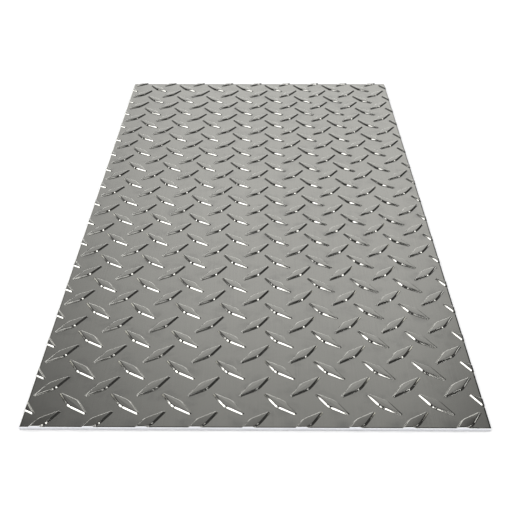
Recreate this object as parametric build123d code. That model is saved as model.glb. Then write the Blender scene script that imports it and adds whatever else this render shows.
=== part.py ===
from build123d import *
import math
import os

# Checker plate: one sheet of bright metal, hot rolled with raised lugs on its upper face and then sheared to size.
# Lengths are in millimetres. The sheet lies flat, X across it and Y along it, with the middle of its underside
# at the origin and the lugs on top.

# The sheet, as sheared
sheet_width = 304.8
sheet_length = 609.6
base_thickness = 2.5

# One lug: a long diamond with blunt tips and shoulders, measured at its foot, with a flat crest
lug_length = 28.6
lug_width = 7.9
lug_height = 1.2
flank_run = 0.9
crest_tip_width = 0.6
crest_shoulder_length = 3.4

# The pattern: two sets of lugs lean opposite ways, and the second stands in the middle of the first one's cells
lug_angle = 45
pitch_across = 34.6
pitch_along = 35.7
first_lug_from_left = 13.5
first_lug_from_front = 4.7

part_folder = "parts"


def crest_outline():
    """The flat top of a lug, which lies along X: two blunt tips and two blunt shoulders."""
    tip = lug_length / 2 - flank_run
    side = lug_width / 2 - flank_run
    half_tip = crest_tip_width / 2
    half_shoulder = crest_shoulder_length / 2
    corners = [
        (tip, -half_tip), (tip, half_tip), (half_shoulder, side), (-half_shoulder, side),
        (-tip, half_tip), (-tip, -half_tip), (-half_shoulder, -side), (half_shoulder, -side),
    ]
    return make_face(Polyline(*corners, close=True))


def raised_lug():
    """One lug on the sheet's upper face: its flanks slope in from the foot to the crest all round."""
    foot = offset(crest_outline(), flank_run, kind=Kind.INTERSECTION)
    flank_slope = math.degrees(math.atan2(flank_run, lug_height))
    return extrude(foot.moved(Location((0, 0, base_thickness))), lug_height, taper=flank_slope)


def centres(first, pitch, size, reach):
    """Places along one side of the sheet, counted from its middle, where a lug of this reach still touches it."""
    lowest = math.ceil((-reach - first) / pitch)
    highest = math.floor((size + reach - first) / pitch)
    return [first + pitch * step - size / 2 for step in range(lowest, highest + 1)]


def lug_set(lug, angle, shift):
    """Every copy of the lug that leans at this angle, with the whole set shifted by a share of a cell."""
    leaning = lug.rotate(Axis.Z, angle)
    reach = leaning.bounding_box().max
    across = centres(first_lug_from_left + shift * pitch_across, pitch_across, sheet_width, reach.X)
    along = centres(first_lug_from_front + shift * pitch_along, pitch_along, sheet_length, reach.Y)
    return [leaning.moved(Location((x, y, 0))) for y in along for x in across]


def crosses_edge(lug):
    """Whether the shear that cuts the sheet to size goes through this lug, or leaves it in the offcut."""
    box = lug.bounding_box()
    return (max(box.max.X, -box.min.X) > sheet_width / 2) or (max(box.max.Y, -box.min.Y) > sheet_length / 2)


def rolled_sheet():
    """The lugs along the edges are rolled on a strip that is a lug larger all round, and sheared with it."""
    lug = raised_lug()
    lugs = lug_set(lug, lug_angle, 0) + lug_set(lug, -lug_angle, 1 / 2)
    edge_lugs = [item for item in lugs if crosses_edge(item)]
    whole_lugs = [item for item in lugs if not crosses_edge(item)]
    on_floor = (Align.CENTER, Align.CENTER, Align.MIN)
    strip = Box(sheet_width + 2 * lug_length, sheet_length + 2 * lug_length, base_thickness, align=on_floor)
    shear = Box(sheet_width, sheet_length, base_thickness + 2 * lug_height, align=on_floor)
    sheared = strip.fuse(*edge_lugs, glue=True) & shear
    return sheared.fuse(*whole_lugs, glue=True)


os.makedirs(part_folder, exist_ok=True)
sheet = rolled_sheet()
export_step(sheet, os.path.join(part_folder, "checker_plate.step"), write_pcurves=False)
print("checker_plate", type(sheet).__name__, len(sheet.faces()), "faces")
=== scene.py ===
import math

import bmesh
import bpy
import numpy as np
from mathutils import Matrix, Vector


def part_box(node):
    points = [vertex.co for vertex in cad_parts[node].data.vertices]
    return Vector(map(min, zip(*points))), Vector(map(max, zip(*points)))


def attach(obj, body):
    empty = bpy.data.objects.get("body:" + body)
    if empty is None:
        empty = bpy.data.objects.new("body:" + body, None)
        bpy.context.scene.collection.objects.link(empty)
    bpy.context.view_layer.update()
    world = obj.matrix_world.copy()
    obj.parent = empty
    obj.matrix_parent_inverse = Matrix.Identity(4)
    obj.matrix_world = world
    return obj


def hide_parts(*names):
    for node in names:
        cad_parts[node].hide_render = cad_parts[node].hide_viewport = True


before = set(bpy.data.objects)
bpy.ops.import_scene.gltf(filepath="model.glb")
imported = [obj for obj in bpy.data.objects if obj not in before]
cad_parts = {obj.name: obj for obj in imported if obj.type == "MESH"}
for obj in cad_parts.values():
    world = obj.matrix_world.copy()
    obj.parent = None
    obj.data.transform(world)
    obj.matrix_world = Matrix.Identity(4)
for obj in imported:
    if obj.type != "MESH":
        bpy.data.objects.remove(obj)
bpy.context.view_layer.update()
print("frame loaded:", sorted(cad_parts))

mm = 0.001                                  # lengths below are in millimetres, the scene is in metres
sheetLow, sheetHigh = (np.array(corner, dtype=float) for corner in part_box("checker_plate"))


# The sheet: rolled with its lugs, then sheared on all four sides
sheetValues = {
    "lugLength": 28.6,
    "lugWidth": 7.9,
    "lugHeight": 1.2,
    "flankRun": 0.9,                        # plan width of a flank, from the foot to the crest
    "crestTip": 0.6,                        # the blunt ends of the crest, across
    "crestShoulder": 3.4,                   # the blunt shoulders of the crest, along
    "crestDrop": 0.25,                      # how much lower the crest is at its tips
    "flankBend": 0.86,                      # where a flank bends, as a share of its length from the tip
    "flankBulge": 0.08,                     # how far it stands out there
    "noseRise": 0.25,                       # how far the middle of a shoulder stands out
    "tipTurn": 5.8,                         # degrees that a flank's normal turns: beside the tip, towards it
    "shoulderTurn": 1.7,                    # and beside the shoulder, towards the lug's width axis
    "ringPlace": (-0.15, 0.10, 0.72, 1.35), # plan places of the four rings, from the foot inwards
    "ringShare": (0.0, 0.15, 0.88, 1.0),    # their heights as shares of the lug's
    "tipSlope": 59.0,                       # slopes near the foot of the flank in degrees, as it shades
    "bendSlope": 57.0,
    "shoulderSlope": 44.0,
    "noseSlope": 52.0,
    "upperShare": 0.95,                     # slope of the flank's upper part, as a share of the lower part's
    "crestSlope": 1.2,
    "lean": 45.0,                           # degrees
    "pitchAcross": 34.6,
    "pitchAlong": 35.7,
    "firstFromLeft": 13.5,
    "firstFromFront": 4.7,
    "groundSwing": 0.42,                    # how far the ground's seams swing aside for the tips of the lugs
    "weldGrid": 10000,                      # steps in a millimetre, to which seam points are rounded
    "shearRoll": (1.10, 0.90),              # width of the rolled-over edge, on the long and the short sides
    "shearLean": (0.62, 0.80),              # tangent of its slope at the cut
    "shearDrop": 0.20,
    "pressWidth": 8.0,                      # how far in from a cut the shear has pressed the lugs down
    "pressShare": 0.32,
    "nearCut": 0.001,                       # a point nearer to a cut than this lies on it
    "uprightBelow": 0.2,                    # a face is upright if its normal rises or falls less than this
}

borderPoints, ringPoints, ringCount = 8, 14, 4      # of one tile: its ground's border and its lug's rings
tilePoints = borderPoints + ringPoints * ringCount


def crestCorners(s):
    # Eight corners of the flat crest, from below the right tip: two tips and two shoulders, cut blunt
    tip = s["lugLength"] / 2 - s["flankRun"]
    side = s["lugWidth"] / 2 - s["flankRun"]
    halfTip, halfShoulder = s["crestTip"] / 2, s["crestShoulder"] / 2
    return np.array([(tip, -halfTip), (tip, halfTip), (halfShoulder, side), (-halfShoulder, side),
                     (-tip, halfTip), (-tip, -halfTip), (-halfShoulder, -side), (halfShoulder, -side)])


def edgeNormals(corners):
    # The outward unit normal of each edge is the edge's direction turned a quarter clockwise
    along = np.roll(corners, -1, axis=0) - corners
    along /= np.linalg.norm(along, axis=1, keepdims=True)
    return np.stack([along[:, 1], -along[:, 0]], axis=1)


def outwardStep(corners):
    # The step to a corner of the parallel outline one unit further out is (n1 + n2) / (1 + n1.n2), where n1
    # and n2 are the normals of its two edges
    after = edgeNormals(corners)
    before = np.roll(after, 1, axis=0)
    return (before + after) / (1 + (before * after).sum(axis=1, keepdims=True))


def outlinePoints(corners, s):
    # Seven points from below the right tip to the left flank, and the same seven after half a turn: the two
    # corners of the tip, the flank's bend, the shoulder's corner, middle and corner, the next flank's bend
    lowTip, highTip, right, left = corners[:4]
    outward = edgeNormals(corners)[1]
    bend = highTip + (right - highTip) * s["flankBend"] + outward * s["flankBulge"]
    nose = (right + left) / 2 + np.array([0, s["noseRise"]])
    half = np.array([lowTip, highTip, bend, right, nose, left, bend * np.array([-1, 1])])
    return np.concatenate([half, -half])


def outlineLean(corners, s):
    # The plan normal of each outline point, with its bearing a from the lug's width axis, is (sin a, cos a)
    outward = edgeNormals(corners)[1]
    flank = math.degrees(math.atan2(outward[0], outward[1]))
    tip, shoulder = flank + s["tipTurn"], flank - s["shoulderTurn"]
    bearing = np.radians([180 - tip, tip, shoulder, shoulder, 0, -shoulder, -shoulder])
    half = np.stack([np.sin(bearing), np.cos(bearing)], axis=1)
    slopes = [s[place + "Slope"] for place in ("tip", "tip", "bend", "shoulder", "nose", "shoulder", "bend")]
    return np.concatenate([half, -half]), np.radians(slopes + slopes)


def lugRings(s):
    # The lug as a grid of points around by rings. A ring is the foot's outline moved towards the crest's by
    # its place over the flank's run, at its share of the crest's height. The last one lies on the crest.
    corners = crestCorners(s)
    crest = outlinePoints(corners, s)
    foot = outlinePoints(corners + outwardStep(corners) * s["flankRun"], s)
    outward, slopes = outlineLean(corners, s)
    place, share = (np.array(s[key])[:, None, None] for key in ("ringPlace", "ringShare"))
    rings = foot + (crest - foot) * place / s["flankRun"]
    top = s["lugHeight"] - s["crestDrop"] * np.abs(crest[:, :1]) / corners[:, 0].max()
    points = np.concatenate([rings, share * top], axis=2)
    flat = slopes * 0
    tilt = np.stack([flat, slopes, slopes * s["upperShare"], flat + math.radians(s["crestSlope"])])
    tilt = tilt[:, :, None]
    return points, np.concatenate([outward * np.sin(tilt), np.cos(tilt)], axis=2)


def groundBorder(s, leanSign):
    # The ground that belongs to one lug ends half way to its four neighbours. The seam in front of a tip
    # swings away from it and the seam beside a shoulder swings in, so the long lug fits between them.
    halfX, halfY = s["pitchAcross"] / 2, s["pitchAlong"] / 2
    end = np.array([halfX, halfY * leanSign]) / 2 * (1 + s["groundSwing"])
    side = np.array([-halfX * leanSign, halfY]) / 2 * (1 - s["groundSwing"])
    nearEnd = np.array([0, halfY]) if leanSign > 0 else np.array([halfX, 0])
    farEnd = np.array([-halfX, 0]) if leanSign > 0 else np.array([0, halfY])
    return np.array([end, nearEnd, side, farEnd, -end, -nearEnd, -side, -farEnd])


def lugCentres(s, shift, size):
    # Centres of one set of lugs from the sheet's middle, one cell beyond the sheet all round
    def line(first, pitch, length):
        step = np.arange(-1, int(length / pitch) + 2)
        return first + (step + shift) * pitch - length / 2
    x, y = np.meshgrid(line(s["firstFromLeft"], s["pitchAcross"], size[0]),
                       line(s["firstFromFront"], s["pitchAlong"], size[1]))
    return np.stack([x.ravel(), y.ravel()], axis=1)


def patternArrays(s, size, topLevel):
    # Both sets of lugs with their ground. A lug is turned to (x cos a - y sin a, x sin a + y cos a), and all
    # tiles of a set are placed at once.
    points, normals = (rows.reshape(-1, 3) for rows in lugRings(s))
    allPoints, allNormals = [], []
    for leanSign, shift in ((1, 0.0), (-1, 0.5)):
        angle = math.radians(s["lean"]) * leanSign
        cos, sin = math.cos(angle), math.sin(angle)
        turn = np.array([[cos, sin, 0], [-sin, cos, 0], [0, 0, 1]])
        border = np.concatenate([groundBorder(s, leanSign), np.zeros((borderPoints, 1))], axis=1)
        tile = np.concatenate([border, points @ turn])
        lean = np.concatenate([np.broadcast_to([0.0, 0.0, 1.0], (borderPoints, 3)), normals @ turn])
        centres = lugCentres(s, shift, size)
        place = np.concatenate([centres, np.full((len(centres), 1), topLevel)], axis=1)
        allPoints.append(tile[None] + place[:, None])
        allNormals.append(np.broadcast_to(lean[None], (len(centres), tilePoints, 3)))
    return np.concatenate(allPoints), np.concatenate(allNormals)


def withOtherHalf(rows):
    # The same faces once more, half a turn further round both the border and the ring
    onBorder = (rows + borderPoints // 2) % borderPoints
    onRing = borderPoints + (rows - borderPoints + ringPoints // 2) % ringPoints
    return np.concatenate([rows, np.where(rows < borderPoints, onBorder, onRing)])


def patternFaces(tileCount):
    # Border point 0 faces the right tip, 2 the upper shoulder, 4 the left tip and 6 the lower shoulder, and
    # the odd ones are the corners of the cell. Half a tile's ground is three triangles and four quads, the
    # rings are joined by quads, and the crest is one face.
    b, r = np.arange(borderPoints // 2 + 1), borderPoints + np.arange(ringPoints // 2 + 1)
    triangles = np.array([(r[0], b[0], r[1]), (r[3], b[2], r[4]), (r[4], b[2], r[5])])
    quads = np.array([(r[1], b[0], b[1], r[2]), (r[2], b[1], b[2], r[3]),
                      (r[5], b[2], b[3], r[6]), (r[6], b[3], b[4], r[7])])
    here = borderPoints + np.arange(ringPoints)
    after = np.roll(here, -1)
    strip = np.stack([here, after, after + ringPoints, here + ringPoints], axis=1)
    strips = [strip + ringPoints * step for step in range(ringCount - 1)]
    crest = np.arange(tilePoints - ringPoints, tilePoints)[None]
    kinds = (withOtherHalf(triangles), np.concatenate([withOtherHalf(quads)] + strips), crest)
    start = np.arange(tileCount)[:, None, None] * tilePoints
    return [(start + rows).reshape(-1, rows.shape[1]) for rows in kinds]


def weldedMesh(points, normals, s, name):
    # Points that two tiles share on a seam become one, found by their place rounded to the weld grid.
    # lugShadeMask is 1 on the flanks and 0 on the crests and the ground's seams: it places painted shade on
    # the flanks and around the lugs' feet, along with smudges.
    flat = points.reshape(-1, 3)
    key = np.round(flat * s["weldGrid"]).astype(np.int64)
    _, first, index = np.unique(key, axis=0, return_index=True, return_inverse=True)
    index = index.ravel()
    faces = sum((index[rows].tolist() for rows in patternFaces(len(points))), [])
    mesh = bpy.data.meshes.new(name)
    mesh.from_pydata((flat[first] * mm).tolist(), [], faces)
    lean = mesh.attributes.new("lean", "FLOAT_VECTOR", "POINT")
    lean.data.foreach_set("vector", normals.reshape(-1, 3)[first].astype(np.float32).ravel())
    place = np.tile(np.arange(tilePoints), len(points))[first]
    onFlank = (place >= borderPoints) & (place < tilePoints - ringPoints)
    lugShadeMask = mesh.attributes.new("lugShadeMask", "FLOAT", "POINT")
    lugShadeMask.data.foreach_set("value", onFlank.astype(np.float32))
    return mesh


def shearToSize(mesh, s, low, high):
    # Cut off what lies outside the sheet, with two more lines inside each cut: where its rolled-over edge
    # starts and where the lugs start to be pressed down. The rim is drawn down and the underside closed.
    bm = bmesh.new()
    bm.from_mesh(mesh)
    for axis in (0, 1):
        for side, limit in ((-1, low[axis]), (1, high[axis])):
            for inset in (0, s["shearRoll"][axis], s["pressWidth"]):
                point, normal = [0, 0, 0], [0, 0, 0]
                point[axis] = limit - side * inset * mm
                normal[axis] = side
                everything = bm.verts[:] + bm.edges[:] + bm.faces[:]
                bmesh.ops.bisect_plane(bm, geom=everything, dist=mm / s["weldGrid"],
                                       plane_co=point, plane_no=normal, clear_outer=inset == 0)
    rim = [edge for edge in bm.edges if edge.is_boundary]
    skirt = bmesh.ops.extrude_edge_only(bm, edges=rim)["geom"]
    lower = [item for item in skirt if isinstance(item, bmesh.types.BMVert)]
    bmesh.ops.scale(bm, vec=(1, 1, 0), space=Matrix.Translation((0, 0, -low[2])), verts=lower)
    bmesh.ops.contextual_create(bm, geom=[edge for edge in bm.edges if edge.is_boundary])
    bmesh.ops.recalc_face_normals(bm, faces=bm.faces[:])
    bm.to_mesh(mesh)
    bm.free()


def readRows(items, name):
    # One row of three numbers for each item
    rows = np.empty(len(items) * 3, dtype=np.float32)
    items.foreach_get(name, rows)
    return rows.reshape(-1, 3).astype(float)


def writeRows(items, name, rows):
    items.foreach_set(name, rows.astype(np.float32).ravel())


def pressTheEdges(mesh, s, low, high):
    # What stands h above the ground, d in from a cut, sinks by h * pressShare * (1 - d / pressWidth) and
    # leans outwards by the slope of that. On the cut itself the edge drops and leans outwards as well.
    place, lean = readRows(mesh.vertices, "co"), readRows(mesh.attributes["lean"].data, "vector")
    ground = high[2] - s["lugHeight"] * mm
    isUpper = place[:, 2] > (low[2] + high[2]) / 2
    for axis in (0, 1):
        wayIn = (high[axis] - np.abs(place[:, axis])) / mm
        isPressed = (wayIn < s["pressWidth"]) & (place[:, 2] > ground)
        stands = np.where(isPressed, place[:, 2] - ground, 0)
        place[:, 2] -= stands * s["pressShare"] * (1 - wayIn / s["pressWidth"])
        lean[:, axis] += np.sign(place[:, axis]) * stands / mm * s["pressShare"] / s["pressWidth"]
    onCut = isUpper[:, None] & (np.abs(np.abs(place[:, :2]) - high[:2]) < s["nearCut"] * mm)
    place[:, 2] -= onCut.any(axis=1) * s["shearDrop"] * mm
    lean[:, :2] += onCut * np.sign(place[:, :2]) * s["shearLean"]
    writeRows(mesh.vertices, "co", place)
    writeRows(mesh.attributes["lean"].data, "vector", lean)
    mesh.update()


def setTheShading(mesh, s):
    # Upper faces are shaded by the lean of the real surface, cut faces and underside by their flat normal
    lean = readRows(mesh.attributes["lean"].data, "vector")
    lean /= np.linalg.norm(lean, axis=1, keepdims=True)
    faceNormal = readRows(mesh.polygons, "normal")
    loopVert = np.empty(len(mesh.loops), dtype=np.int32)
    mesh.loops.foreach_get("vertex_index", loopVert)
    faceLength = np.empty(len(mesh.polygons), dtype=np.int32)
    mesh.polygons.foreach_get("loop_total", faceLength)
    loopFace = np.repeat(np.arange(len(mesh.polygons)), faceLength)
    isUpper = faceNormal[:, 2] > s["uprightBelow"]
    isCut = np.abs(faceNormal[:, 2]) < s["uprightBelow"]
    normals = np.where(isUpper[loopFace, None], lean[loopVert], faceNormal[loopFace])
    mesh.polygons.foreach_set("use_smooth", np.ones(len(mesh.polygons), dtype=bool))
    mesh.polygons.foreach_set("material_index", isCut.astype(np.int32))
    mesh.normals_split_custom_set(normals.tolist())
    mesh.attributes.remove(mesh.attributes["lean"])


def checkerSheet():
    s = sheetValues
    size = (sheetHigh - sheetLow)[:2] / mm
    topLevel = sheetHigh[2] / mm - s["lugHeight"]
    points, normals = patternArrays(s, size, topLevel)
    mesh = weldedMesh(points, normals, s, "rolledSheet")
    shearToSize(mesh, s, sheetLow, sheetHigh)
    pressTheEdges(mesh, s, sheetLow, sheetHigh)
    setTheShading(mesh, s)
    sheet = bpy.data.objects.new("rolledSheet", mesh)
    bpy.context.collection.objects.link(sheet)
    mesh.materials.append(rolledMetal())
    mesh.materials.append(shearedMetal())
    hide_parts("checker_plate")
    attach(sheet, "root")
    print("sheet:", len(mesh.polygons), "faces")


class Recipe:
    # A short way to write sums of shader nodes
    def __init__(self, tree):
        self.tree = tree

    def node(self, kind, **settings):
        made = self.tree.nodes.new(kind)
        for key, value in settings.items():
            setattr(made, key, value)
        return made

    def feed(self, socket, value):
        if isinstance(value, bpy.types.NodeSocket):
            self.tree.links.new(value, socket)
        else:
            socket.default_value = value

    def calc(self, operation, *values):
        made = self.node("ShaderNodeMath", operation=operation)
        for socket, value in zip(made.inputs, values):
            self.feed(socket, value)
        return made.outputs[0]

    def product(self, first, *others):
        for other in others:
            first = self.calc("MULTIPLY", first, other)
        return first

    def between(self, share, low, high):
        # low at share 0, high at share 1
        return self.calc("ADD", self.calc("MULTIPLY", share, high - low), low)

    def rise(self, value, low, high):
        # 0 below low, 1 above high, smooth between them
        made = self.node("ShaderNodeMapRange", interpolation_type="SMOOTHSTEP")
        for name, given in (("Value", value), ("From Min", low), ("From Max", high)):
            self.feed(made.inputs[name], given)
        return made.outputs["Result"]

    def fall(self, value, low, high):
        # 1 below low, 0 above high
        return self.calc("SUBTRACT", 1, self.rise(value, low, high))

    def band(self, value, limits):
        # 1 between the two limits, 0 outside them
        low, high, soft = limits
        afterLow = self.rise(value, low - soft, low + soft)
        beforeHigh = self.fall(value, high - soft, high + soft)
        return self.product(afterLow, beforeHigh)

    def noise(self, place, scale, detail):
        # place is a vector socket and scale gives the waves in a metre along x, y and z
        stretched = self.node("ShaderNodeVectorMath", operation="MULTIPLY")
        self.feed(stretched.inputs[0], place)
        self.feed(stretched.inputs[1], scale)
        made = self.node("ShaderNodeTexNoise")
        self.feed(made.inputs["Vector"], stretched.outputs[0])
        self.feed(made.inputs["Scale"], 1.0)
        self.feed(made.inputs["Detail"], detail)
        return made.outputs[0]

    def parts(self, vector):
        made = self.node("ShaderNodeSeparateXYZ")
        self.feed(made.inputs[0], vector)
        return made.outputs

    def blend(self, share, first, second):
        # Colours, from the first at 0 to the second at 1
        made = self.node("ShaderNodeMix", data_type="RGBA")
        self.feed(made.inputs[0], share)
        self.feed(made.inputs[6], first)
        self.feed(made.inputs[7], second)
        return made.outputs[2]

    def choose(self, share, first, second):
        # Numbers, from the first at 0 to the second at 1
        made = self.node("ShaderNodeMix", data_type="FLOAT")
        self.feed(made.inputs[0], share)
        self.feed(made.inputs[2], first)
        self.feed(made.inputs[3], second)
        return made.outputs[0]

    def bump(self, height, distance, under=None):
        made = self.node("ShaderNodeBump")
        self.feed(made.inputs["Height"], height)
        self.feed(made.inputs["Distance"], distance)
        if under is not None:
            self.feed(made.inputs["Normal"], under)
        return made.outputs["Normal"]


def newMaterial(name):
    material = bpy.data.materials.new(name)
    material.use_nodes = True
    return material, material.node_tree.nodes["Principled BSDF"], Recipe(material.node_tree)


# Rolled face: streaks along the rolling direction, slow waves and grain, patchy smudges with painted shade
# that is deepest on the flanks of the lugs and fades out across the ground, and spots of painted shade
# beside the lugs of the front row. A noise is its waves in a metre and its detail.
rolledValues = {
    "colour": (0.610, 0.604, 0.562, 1),
    "roughness": (0.10, 0.20),              # clean, and in full streaks and in smudges with painted shade
    "streakNoise": ((1500, 22, 22), 3.0),
    "streakRange": (0.35, 0.75),            # of the noise, from no streak to a full one
    "streakShare": 0.18,
    # colour of the smudges and of the painted shade on and around the lugs
    "smudgeAndShade": (0.46, 0.455, 0.43, 1),
    "smudgeNoise": ((60, 60, 60), 3.0),
    "smudgeRange": (0.45, 0.75),
    "smudgeAndShadeShare": 0.70,
    "smudgeAndShadeOnGround": 0.25,                 # painted shade and smudge on the ground, as a share of that on a flank
    "waveNoise": ((45, 30, 30), 2.0),
    "waveDepth": 0.05 * mm,
    "grainNoise": ((2600, 420, 420), 1.0),
    "grainDepth": 0.0016 * mm,
    # painted shade: colour of the dark spots left of each lug in the front row
    "shadeSpot": (0.40, 0.405, 0.39, 1),
    "spotAside": -10.0 * mm,                # from the middle of its lug
    "spotAcross": (-5.0 * mm, 3.0 * mm, 5.0 * mm),
    "spotFromFront": (-1.0 * mm, 7.0 * mm, 5.0 * mm),
    "spotLeast": 0.5,                       # its strength where there is no smudge
}


def frontShadeSpots(r, v, place):
    # Painted shade spots beside the front row of lugs. The way across from the nearest spot's middle,
    # wrapped at the pitch, and the way in from the front edge
    x, y, _ = r.parts(place)
    halfPitch = sheetValues["pitchAcross"] * mm / 2
    firstShadeSpot = sheetLow[0] + sheetValues["firstFromLeft"] * mm + v["spotAside"]
    aside = r.calc("WRAP", r.calc("SUBTRACT", x, firstShadeSpot), halfPitch, -halfPitch)
    fromFront = r.calc("SUBTRACT", y, sheetLow[1])
    return r.product(r.band(aside, v["spotAcross"]), r.band(fromFront, v["spotFromFront"]))


def rolledMetal():
    v = rolledValues
    material, shader, r = newMaterial("rolledMetal")
    place = r.node("ShaderNodeTexCoord").outputs["Object"]
    lugShadeMask = r.node("ShaderNodeAttribute", attribute_name="lugShadeMask").outputs["Fac"]
    streak = r.rise(r.noise(place, *v["streakNoise"]), *v["streakRange"])
    patchy = r.rise(r.noise(place, *v["smudgeNoise"]), *v["smudgeRange"])
    # Painted shade: patchy darkening, full on the lugs' flanks and fading across the ground around their
    # feet
    smudgeAndShade = r.product(patchy, r.between(lugShadeMask, v["smudgeAndShadeOnGround"], 1))
    dulledAndShaded = r.calc("ADD", r.product(streak, v["streakShare"]), r.product(smudgeAndShade, v["smudgeAndShadeShare"]))
    # Painted shade: dark spots on the ground beside the front row of lugs, stronger where the smudges are
    shadeSpot = r.product(frontShadeSpots(r, v, place), r.between(patchy, v["spotLeast"], 1))
    wave = r.bump(r.noise(place, *v["waveNoise"]), v["waveDepth"])
    grain = r.bump(r.noise(place, *v["grainNoise"]), v["grainDepth"], wave)
    r.feed(shader.inputs["Base Color"], r.blend(shadeSpot, r.blend(dulledAndShaded, v["colour"], v["smudgeAndShade"]), v["shadeSpot"]))
    shader.inputs["Metallic"].default_value = 1
    r.feed(shader.inputs["Roughness"], r.between(dulledAndShaded, *v["roughness"]))
    r.feed(shader.inputs["Normal"], grain)
    return material


# Cut face: a burnished upper band that the blade rubbed, and torn metal with upright tears below it
shearedValues = {
    "torn": (0.70, 0.705, 0.73, 1),
    "burnished": (0.80, 0.81, 0.85, 1),
    "roughness": (0.50, 0.28),              # torn, and burnished
    "burnishedFrom": 1.5 * mm,              # height above the underside
    "burnishedBlend": 0.15 * mm,
    "wander": 0.4 * mm,                     # how far the tears shift that height up or down
    "tearNoise": ((900, 900, 120), 3.0),
    "tearDepth": 0.02 * mm,
}


def shearedMetal():
    v = shearedValues
    material, shader, r = newMaterial("shearedMetal")
    place = r.node("ShaderNodeTexCoord").outputs["Object"]
    tear = r.noise(place, *v["tearNoise"])
    ragged = r.calc("ADD", r.parts(place)[2], r.between(tear, -v["wander"], v["wander"]))
    middle, blend = v["burnishedFrom"], v["burnishedBlend"]
    burnished = r.rise(ragged, middle - blend, middle + blend)
    r.feed(shader.inputs["Base Color"], r.blend(burnished, v["torn"], v["burnished"]))
    shader.inputs["Metallic"].default_value = 1
    r.feed(shader.inputs["Roughness"], r.between(burnished, *v["roughness"]))
    r.feed(shader.inputs["Normal"], r.bump(tear, v["tearDepth"]))
    return material


# Floor
floorValues = {
    "halfSize": 4.0,                        # metres
    "level": -0.2 * mm,                     # a hair under the sheet
    "colour": (0.95, 0.95, 0.95, 1),
    "roughness": 0.9,
}


def paleFloor():
    f = floorValues
    h = f["halfSize"]
    corners = [(x, y, f["level"]) for x, y in ((-h, -h), (h, -h), (h, h), (-h, h))]
    mesh = bpy.data.meshes.new("floor")
    mesh.from_pydata(corners, [], [(0, 1, 2, 3)])
    floor = bpy.data.objects.new("floor", mesh)
    bpy.context.collection.objects.link(floor)
    material, shader, r = newMaterial("paleFloor")
    r.feed(shader.inputs["Base Color"], f["colour"])
    r.feed(shader.inputs["Roughness"], f["roughness"])
    mesh.materials.append(material)
    print("floor laid")


# Camera, at the photo's viewing angle
cameraValues = {
    "place": (5.43 * mm, -736.72 * mm, 400.84 * mm),
    "down": 31.826,                         # degrees below the horizon
    "turn": -0.564,                         # degrees to the right of the sheet's length
    "roll": -0.190,                         # degrees
    "focal": 894.55,                        # in pixels of the photo's frame
    "framePixels": 512,
    "sensor": 36.0,                         # width in millimetres
    "nearest": 10 * mm,
}


def addCamera():
    # The view runs along (sin t cos d, cos t cos d, -sin d) for turn t and down d, and rolls about that line
    c = cameraValues
    down, turn, roll = (math.radians(c[key]) for key in ("down", "turn", "roll"))
    forward = np.array([math.sin(turn) * math.cos(down), math.cos(turn) * math.cos(down), -math.sin(down)])
    level = np.array([math.cos(turn), -math.sin(turn), 0])
    upright = np.cross(level, forward)
    right = level * math.cos(roll) + upright * math.sin(roll)
    up = upright * math.cos(roll) - level * math.sin(roll)
    data = bpy.data.cameras.new("camera")
    data.sensor_width = c["sensor"]
    data.lens = c["focal"] * c["sensor"] / c["framePixels"]
    data.clip_start = c["nearest"]
    camera = bpy.data.objects.new("camera", data)
    turned = Matrix((right, up, -forward)).transposed().to_4x4()
    camera.matrix_world = Matrix.Translation(c["place"]) @ turned
    bpy.context.collection.objects.link(camera)
    bpy.context.scene.camera = camera
    print("camera placed")


# What the metal mirrors. Directions are in degrees: the bearing is 0 towards the sheet's back edge and 90 to
# its right, and the height is above the horizon. A band is (from, to, softness).
studioValues = {
    "wallByHeight": ((0, 1.0), (12, 0.84), (22, 0.66), (28, 0.615),
                     (35, 0.49), (41, 0.325), (50, 0.16), (60, 0.10)),
    "wallLeft": (-31, -1),                  # the front wall fades in between these bearings
    "wallRight": (9, 27),                   # and out between these
    "wallSpread": (21, 2.5),                # each degree below this height takes it so many further left
    "horizonLevel": 1.4,                    # added at the horizon, and gone at this height
    "horizonHeight": 14,
    "rearLevel": 0.45,
    "rearBearing": (140, 224, 8),
    "boxLevel": 3.2,                        # a long light on the left
    "boxBearing": (-136, -79, 1.5),
    "boxHeight": (1, 31, 2),
    "boxLift": (-116, -106, 9),             # left of the first bearing the box hangs so many degrees higher
    "boxStep": (22, 30, 13),                # above the second height its left end is so many degrees nearer
    "patches": (                            # smaller lights: level, bearings from 0 to 360, heights
        (2.8, (91, 105, 2), (34, 47, 2)),
        (0.8, (122, 132, 3), (28, 40, 3)),
        (1.2, (134, 143, 2), (30, 36, 2)),
        (2.0, (126, 234, 5), (44, 66, 3)),
        (0.13, (270, 345, 8), (0, 30, 8)),
        (0.5, (112, 236, 6), (-10, 11, 3)),
    ),
    "darkLevel": 0.04,                      # where there is no light
    "diffuseLevel": 1.2,                    # even light for all that doesn't mirror
    "backdropLevel": 1.0,                   # as the camera sees it
}


def wallByHeight(r, v, height):
    # The walls' level at each height, as stops of a ramp from the horizon to the zenith. It starts with two.
    zenith = 90
    ramp = r.node("ShaderNodeValToRGB")
    stops = ramp.color_ramp.elements
    for index, (angle, level) in enumerate(v["wallByHeight"]):
        stop = stops[index] if index < 2 else stops.new(angle / zenith)
        stop.position = angle / zenith
        stop.color = (level, level, level, 1)
    r.feed(ramp.inputs["Fac"], r.calc("DIVIDE", height, zenith))
    return ramp.outputs["Color"]


def frontWall(r, v, wall, bearing, height):
    # Its left end is found by a bearing that grows with the way below the height where it starts to spread
    horizon = r.product(r.fall(height, 0, v["horizonHeight"]), v["horizonLevel"])
    spreadBelow, spread = v["wallSpread"]
    below = r.calc("MAXIMUM", r.calc("SUBTRACT", spreadBelow, height), 0)
    widened = r.calc("ADD", bearing, r.product(below, spread))
    across = r.product(r.rise(widened, *v["wallLeft"]), r.fall(bearing, *v["wallRight"]))
    return r.product(r.calc("ADD", wall, horizon), across)


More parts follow.
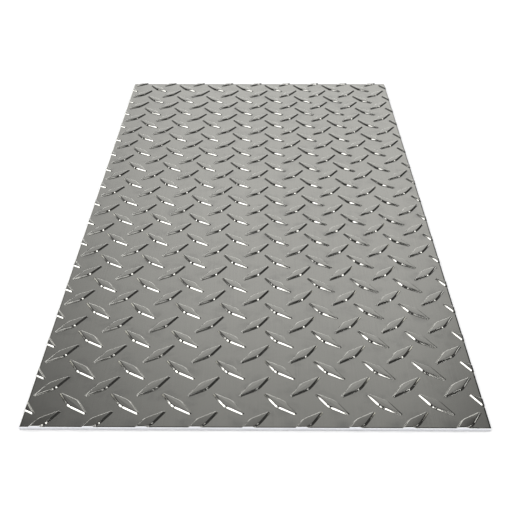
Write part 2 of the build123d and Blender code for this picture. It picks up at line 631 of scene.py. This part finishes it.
def boxLight(r, v, bearing, height):
    # Its left end is found by a lower bearing high up, and its height by a lower height further left
    low, high, soft = v["boxBearing"]
    stepFrom, stepTo, stepBy = v["boxStep"]
    leftEnd = r.calc("SUBTRACT", bearing, r.product(r.rise(height, stepFrom, stepTo), stepBy))
    across = r.product(r.rise(leftEnd, low - soft, low + soft), r.fall(bearing, high - soft, high + soft))
    liftFrom, liftTo, liftBy = v["boxLift"]
    lowered = r.calc("SUBTRACT", height, r.product(r.fall(bearing, liftFrom, liftTo), liftBy))
    return r.product(across, r.band(lowered, v["boxHeight"]), v["boxLevel"])


def addWorld():
    v = studioValues
    world = bpy.data.worlds.new("studio")
    bpy.context.scene.world = world
    world.use_nodes = True
    r = Recipe(world.node_tree)
    x, y, z = r.parts(r.node("ShaderNodeTexCoord").outputs["Generated"])
    height = r.product(r.calc("ARCSINE", z), math.degrees(1))
    bearing = r.product(r.calc("ARCTAN2", x, y), math.degrees(1))
    fullBearing = r.calc("WRAP", bearing, 360, 0)
    wall = wallByHeight(r, v, height)
    front = frontWall(r, v, wall, bearing, height)
    rear = r.product(wall, v["rearLevel"], r.band(fullBearing, v["rearBearing"]))
    box = boxLight(r, v, bearing, height)
    mirrored = r.calc("ADD", r.calc("MAXIMUM", front, rear), r.calc("MAXIMUM", box, v["darkLevel"]))
    for level, bearings, heights in v["patches"]:
        patch = r.product(r.band(fullBearing, bearings), r.band(height, heights), level)
        mirrored = r.calc("MAXIMUM", mirrored, patch)
    path = r.node("ShaderNodeLightPath").outputs
    seen = r.calc("MAXIMUM", path["Is Camera Ray"], path["Is Transmission Ray"])
    lit = r.choose(path["Is Glossy Ray"], v["diffuseLevel"], mirrored)
    background = world.node_tree.nodes["Background"]
    background.inputs["Color"].default_value = (1, 1, 1, 1)
    r.feed(background.inputs["Strength"], r.choose(seen, lit, v["backdropLevel"]))
    print("studio lit")


checkerSheet()
paleFloor()
addCamera()
addWorld()
bpy.context.scene.view_settings.view_transform = "Standard"
